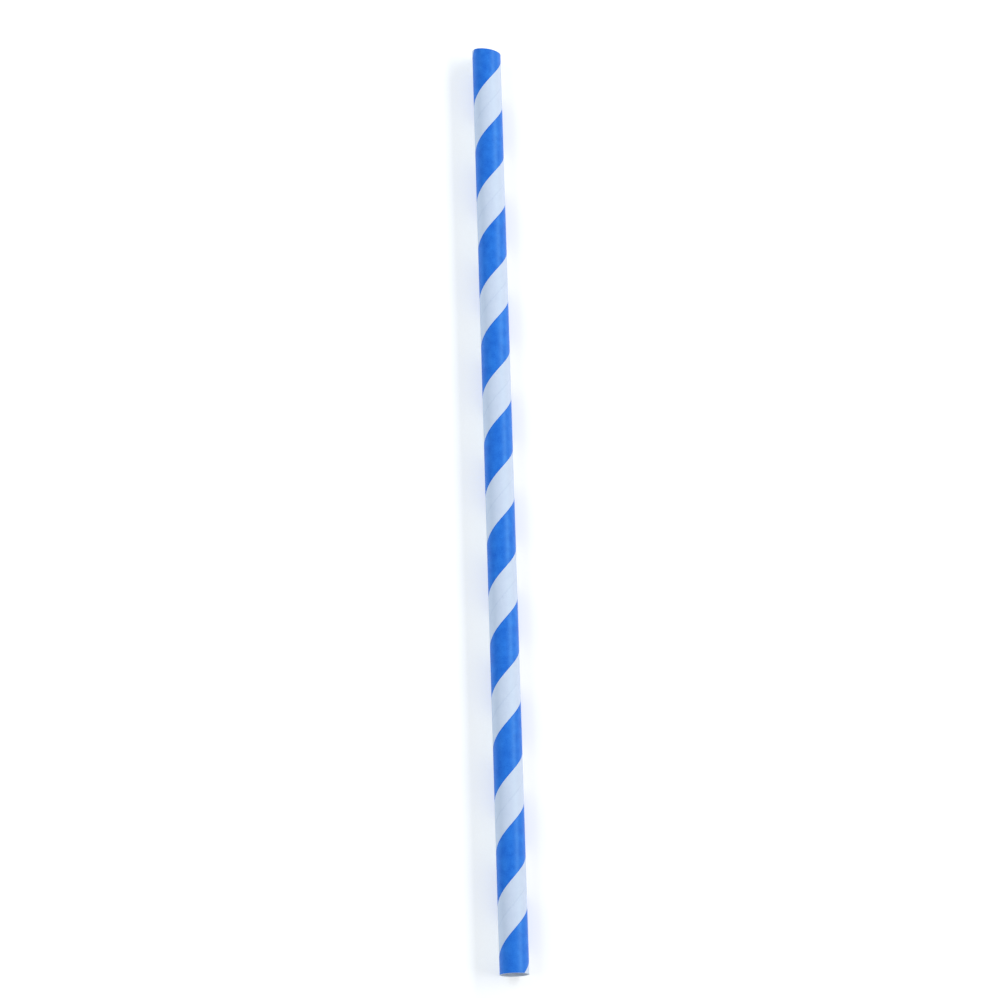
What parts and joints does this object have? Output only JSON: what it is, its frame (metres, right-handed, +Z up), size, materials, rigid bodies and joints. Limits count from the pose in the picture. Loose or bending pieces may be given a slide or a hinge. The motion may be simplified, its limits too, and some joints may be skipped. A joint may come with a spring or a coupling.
{
  "type": "drinking straw",
  "caption": "Paper drinking straw: a stiff, spirally wound paper tube, open at both ends, with a printed spiral stripe.",
  "frame": {"origin": "on the surface the straw lies on, under the middle of its length", "axes": "+Y along the straw towards its top end, +Z up from the surface it lies on, +X to its right"},
  "size_m": [0.006, 0.197, 0.006],
  "materials": {
    "printed_paper": "smooth uncoated white paper, printed with one broad blue spiral stripe, faint satin sheen"
  },
  "bodies": {
    "root": {"straw_tube": "printed_paper"}
  },
  "joints": []
}
